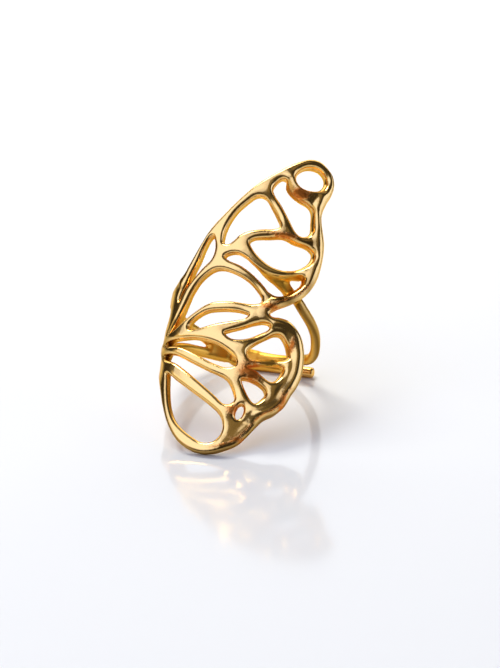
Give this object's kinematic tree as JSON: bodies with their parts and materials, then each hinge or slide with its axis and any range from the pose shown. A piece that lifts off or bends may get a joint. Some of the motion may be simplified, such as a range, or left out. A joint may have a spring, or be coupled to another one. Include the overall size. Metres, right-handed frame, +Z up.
{
  "type": "wrap ring",
  "caption": "Finger ring with a tall pierced butterfly wing in polished yellow gold, carried on a round wire band that forks behind it.",
  "frame": {"origin": "centre of the ring's footprint box, on the table that it rests on", "axes": "+Z up from the table, -Y towards the front of the wing, +X to the wing's trailing edge"},
  "size_m": [0.0232, 0.0276, 0.0298],
  "materials": {
    "gold": "polished, gold plated"
  },
  "bodies": {
    "root": {"wing_ring": "gold"}
  },
  "joints": []
}
